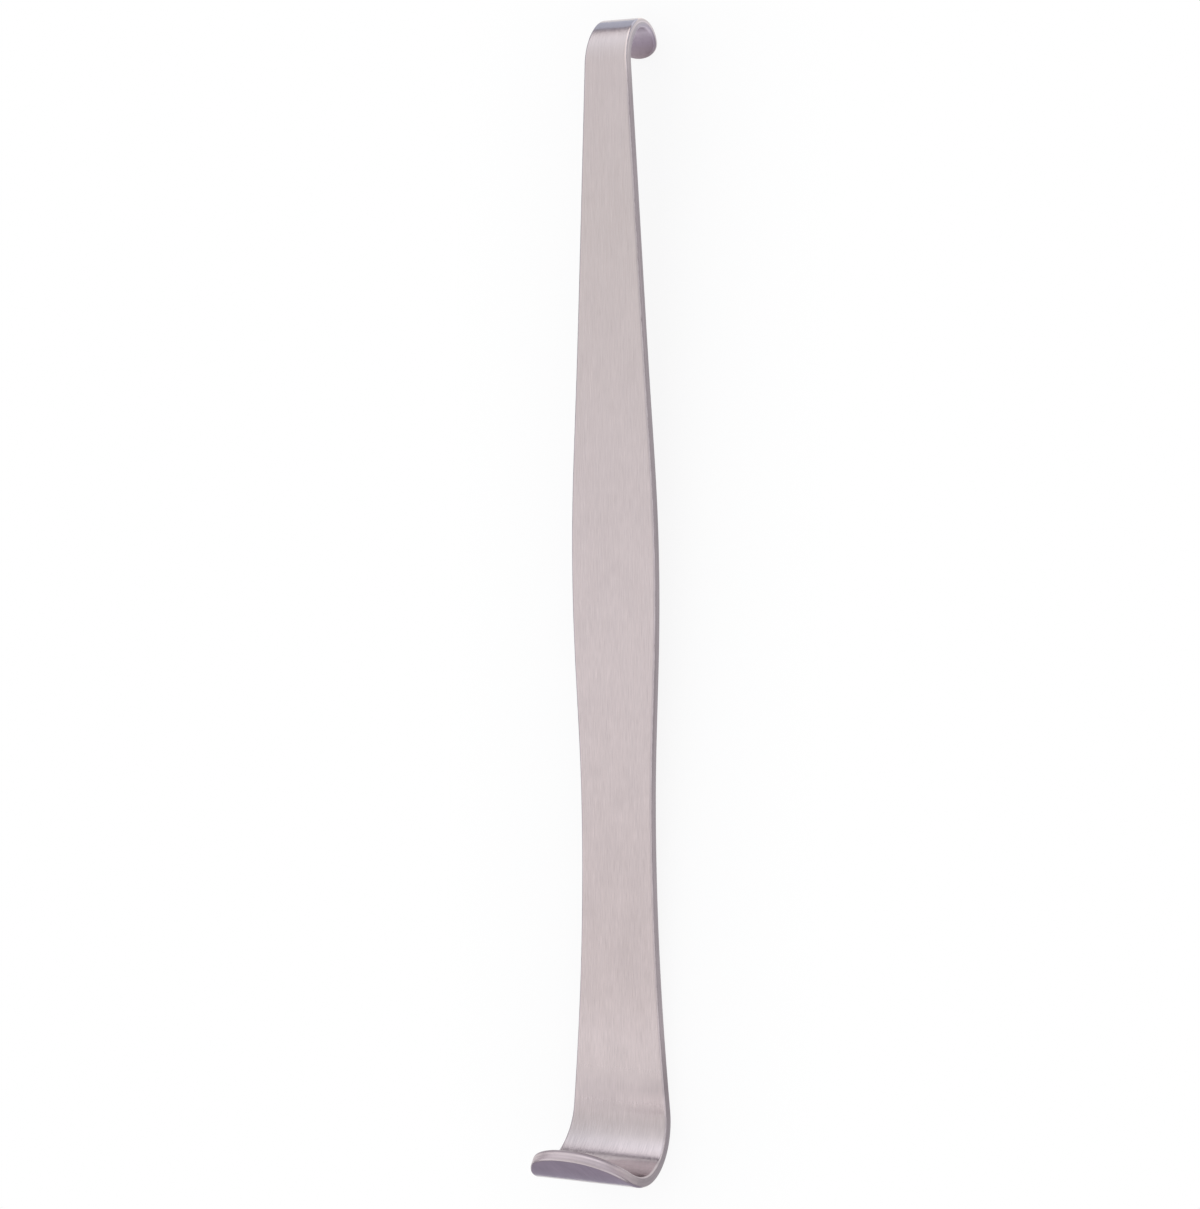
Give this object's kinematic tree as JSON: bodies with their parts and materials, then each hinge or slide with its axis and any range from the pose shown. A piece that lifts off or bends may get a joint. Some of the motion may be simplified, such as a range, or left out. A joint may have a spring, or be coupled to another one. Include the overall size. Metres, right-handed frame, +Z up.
{
  "type": "handheld surgical retractor",
  "caption": "Double-ended hand retractor bent from flat steel strip, with a narrow curled hook at one end and a broad upturned lip at the other.",
  "frame": {"origin": "centre of the bounding box's footprint, on the table that the retractor lies on with its back down", "axes": "+X along the length towards the narrow hook, +Y across the width, +Z up, on the side that the broad lip turns up to"},
  "size_m": [0.1906, 0.02, 0.0196],
  "materials": {
    "steel": "satin, brushed lengthwise"
  },
  "bodies": {
    "root": {"retractor": "steel"}
  },
  "joints": []
}
